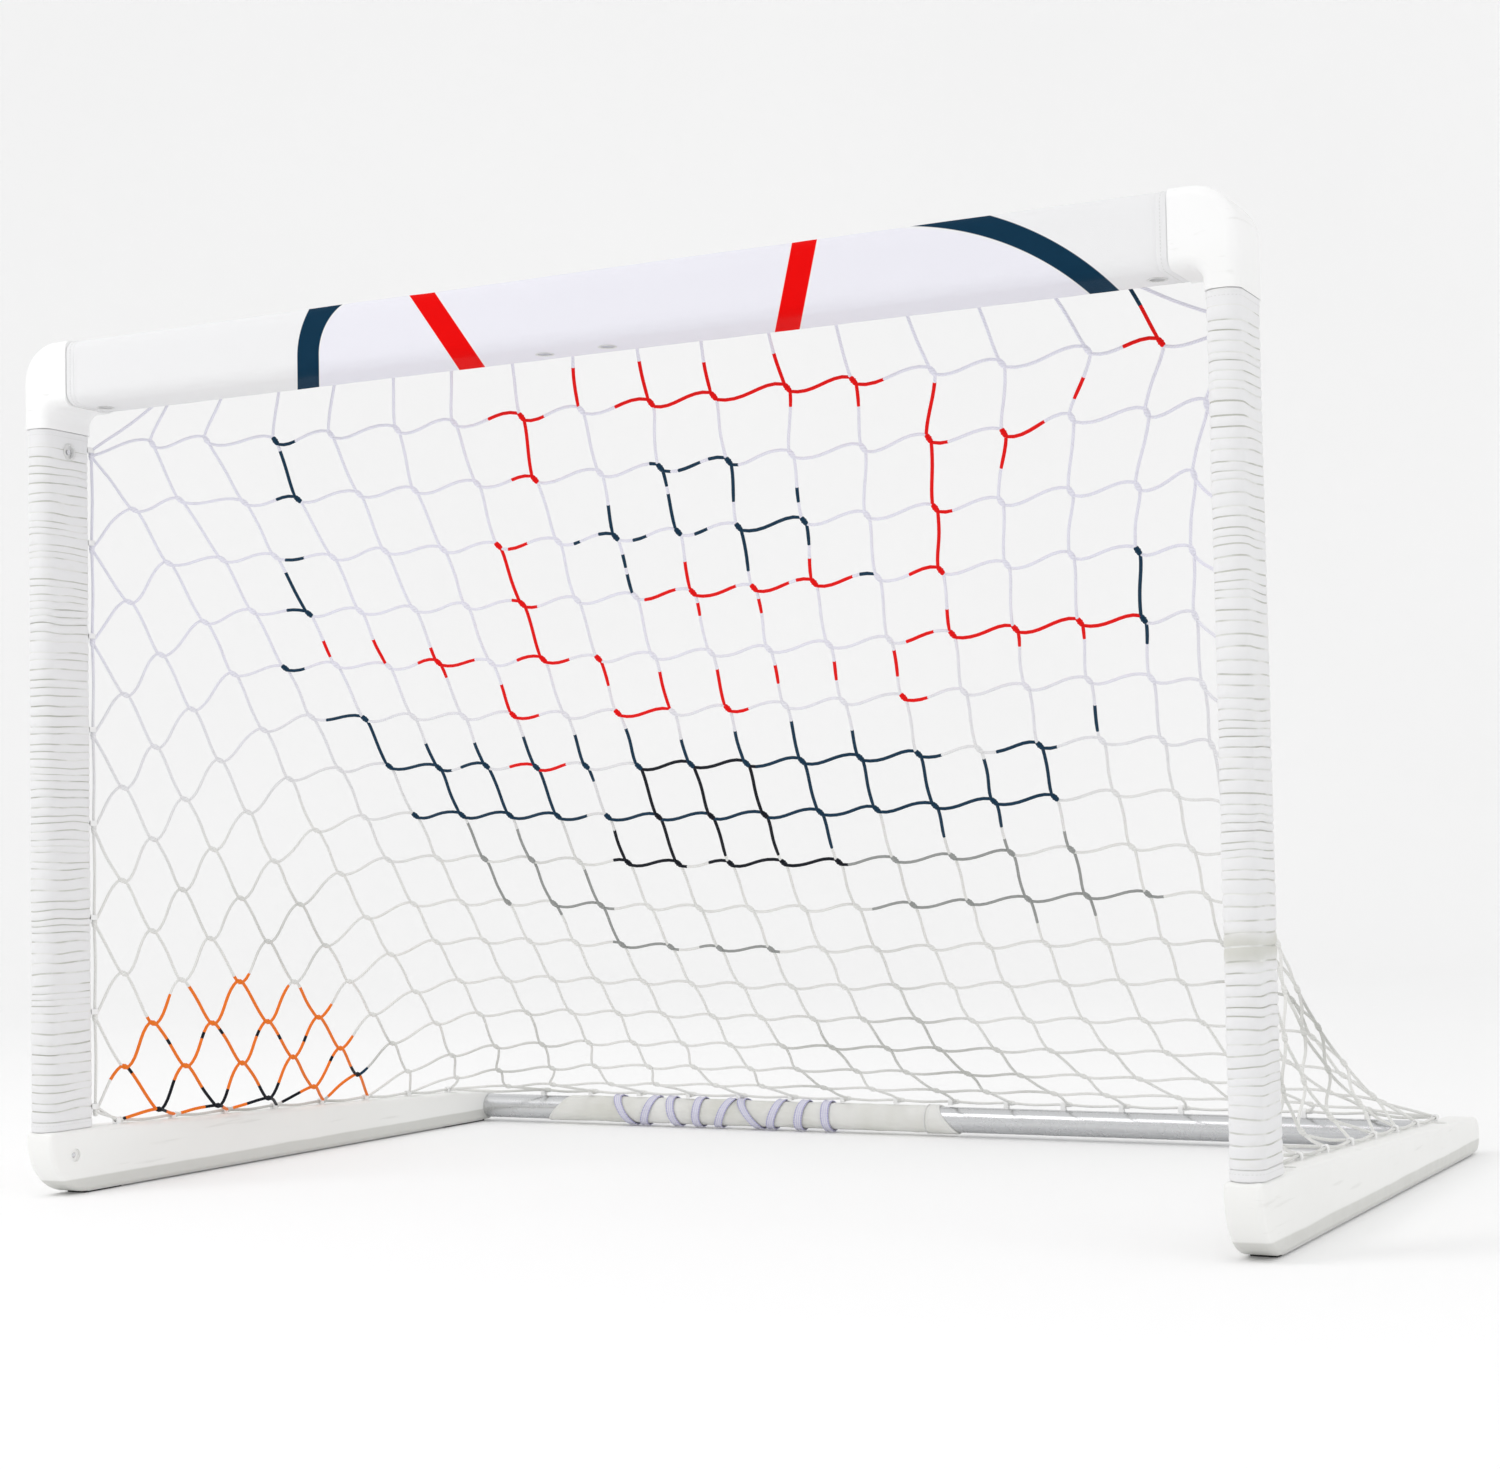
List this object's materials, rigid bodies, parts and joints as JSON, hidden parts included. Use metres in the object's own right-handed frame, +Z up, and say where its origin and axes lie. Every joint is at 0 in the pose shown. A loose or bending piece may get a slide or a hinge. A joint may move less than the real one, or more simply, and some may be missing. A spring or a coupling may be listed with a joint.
{
  "type": "soccer goal frame",
  "caption": "Take-apart backyard soccer goal: padded posts and crossbar, moulded ground rails, bare back tube, snap buttons and a slack square-mesh net.",
  "frame": {"origin": "on the ground, under the middle of the frame's outer box", "axes": "+X along the crossbar to the right seen from the front, +Y from the mouth to the back, +Z up"},
  "size_m": [1.896, 1.23, 1.29],
  "materials": {
    "rail_plastic": "satin",
    "plate_plastic": "matte",
    "corner_plastic": "satin",
    "steel_tube": "satin",
    "rear_aluminium": "satin",
    "sleeve_white": "matte",
    "sleeve_print": "matte",
    "wrap_cream": "matte",
    "strap_lavender": "matte",
    "net_twine": "matte",
    "clip_plastic": "satin",
    "screw_steel": "satin",
    "spring_steel": "satin",
    "pad_rubber": "matte",
    "button_chrome": "polished"
  },
  "bodies": {
    "frame": {"button_springs": "spring_steel", "corner_cover_screws": "screw_steel", "crossbar_ferrule": "steel_tube", "crossbar_net_clips": "clip_plastic", "crossbar_sleeve": "sleeve_print", "grip_pads": "pad_rubber", "left_corner": "corner_plastic", "left_corner_cover": "corner_plastic", "left_crossbar_tube": "steel_tube", "left_net_side": "net_twine", "left_post_sleeve": "sleeve_white", "left_rail": "rail_plastic", "left_rail_plate": "plate_plastic", "left_rear_tube": "rear_aluminium", "left_upright_tube": "steel_tube", "net_back": "net_twine", "post_net_clips": "clip_plastic", "rail_net_clips": "clip_plastic", "rail_plate_screws": "screw_steel", "rear_ferrule": "rear_aluminium", "rear_net_clips": "clip_plastic", "rear_wrap": "wrap_cream", "right_corner": "corner_plastic", "right_corner_cover": "corner_plastic", "right_crossbar_tube": "steel_tube", "right_net_side": "net_twine", "right_post_sleeve": "sleeve_white", "right_rail": "rail_plastic", "right_rail_plate": "plate_plastic", "right_rear_tube": "rear_aluminium", "right_upright_tube": "steel_tube", "wrap_straps": "strap_lavender"},
    "left_crossbar_end_button": {"left_crossbar_end_button": "button_chrome"},
    "left_crossbar_middle_button": {"left_crossbar_middle_button": "button_chrome"},
    "left_post_foot_button": {"left_post_foot_button": "button_chrome"},
    "left_post_top_button": {"left_post_top_button": "button_chrome"},
    "left_rear_end_button": {"left_rear_end_button": "button_chrome"},
    "left_rear_middle_button": {"left_rear_middle_button": "button_chrome"},
    "right_crossbar_end_button": {"right_crossbar_end_button": "button_chrome"},
    "right_crossbar_middle_button": {"right_crossbar_middle_button": "button_chrome"},
    "right_post_foot_button": {"right_post_foot_button": "button_chrome"},
    "right_post_top_button": {"right_post_top_button": "button_chrome"},
    "right_rear_end_button": {"right_rear_end_button": "button_chrome"},
    "right_rear_middle_button": {"right_rear_middle_button": "button_chrome"}
  },
  "joints": [
    {"name": "left_crossbar_end_button_press", "type": "slide", "parent": "frame", "child": "left_crossbar_end_button", "axis": [0, 0, 1], "range_m": [0, 0.0048], "stiffness_N_per_m": 1500, "springref_m": -0.002, "deforming": ["button_springs"]},
    {"name": "left_crossbar_middle_button_press", "type": "slide", "parent": "frame", "child": "left_crossbar_middle_button", "axis": [0, 0, 1], "range_m": [0, 0.0048], "stiffness_N_per_m": 1500, "springref_m": -0.002, "deforming": ["button_springs"]},
    {"name": "left_post_foot_button_press", "type": "slide", "parent": "frame", "child": "left_post_foot_button", "axis": [-1, 0, 0], "range_m": [0, 0.0048], "stiffness_N_per_m": 1500, "springref_m": -0.002, "deforming": ["button_springs"]},
    {"name": "left_post_top_button_press", "type": "slide", "parent": "frame", "child": "left_post_top_button", "axis": [-1, 0, 0], "range_m": [0, 0.0048], "stiffness_N_per_m": 1500, "springref_m": -0.002, "deforming": ["button_springs"]},
    {"name": "left_rear_end_button_press", "type": "slide", "parent": "frame", "child": "left_rear_end_button", "axis": [0, -1, 0], "range_m": [0, 0.0048], "stiffness_N_per_m": 1500, "springref_m": -0.002, "deforming": ["button_springs"]},
    {"name": "left_rear_middle_button_press", "type": "slide", "parent": "frame", "child": "left_rear_middle_button", "axis": [0, -1, 0], "range_m": [0, 0.0048], "stiffness_N_per_m": 1500, "springref_m": -0.002, "deforming": ["button_springs"]},
    {"name": "right_crossbar_end_button_press", "type": "slide", "parent": "frame", "child": "right_crossbar_end_button", "axis": [0, 0, 1], "range_m": [0, 0.0048], "stiffness_N_per_m": 1500, "springref_m": -0.002, "deforming": ["button_springs"]},
    {"name": "right_crossbar_middle_button_press", "type": "slide", "parent": "frame", "child": "right_crossbar_middle_button", "axis": [0, 0, 1], "range_m": [0, 0.0048], "stiffness_N_per_m": 1500, "springref_m": -0.002, "deforming": ["button_springs"]},
    {"name": "right_post_foot_button_press", "type": "slide", "parent": "frame", "child": "right_post_foot_button", "axis": [1, 0, 0], "range_m": [0, 0.0048], "stiffness_N_per_m": 1500, "springref_m": -0.002, "deforming": ["button_springs"]},
    {"name": "right_post_top_button_press", "type": "slide", "parent": "frame", "child": "right_post_top_button", "axis": [1, 0, 0], "range_m": [0, 0.0048], "stiffness_N_per_m": 1500, "springref_m": -0.002, "deforming": ["button_springs"]},
    {"name": "right_rear_end_button_press", "type": "slide", "parent": "frame", "child": "right_rear_end_button", "axis": [0, -1, 0], "range_m": [0, 0.0048], "stiffness_N_per_m": 1500, "springref_m": -0.002, "deforming": ["button_springs"]},
    {"name": "right_rear_middle_button_press", "type": "slide", "parent": "frame", "child": "right_rear_middle_button", "axis": [0, -1, 0], "range_m": [0, 0.0048], "stiffness_N_per_m": 1500, "springref_m": -0.002, "deforming": ["button_springs"]}
  ]
}
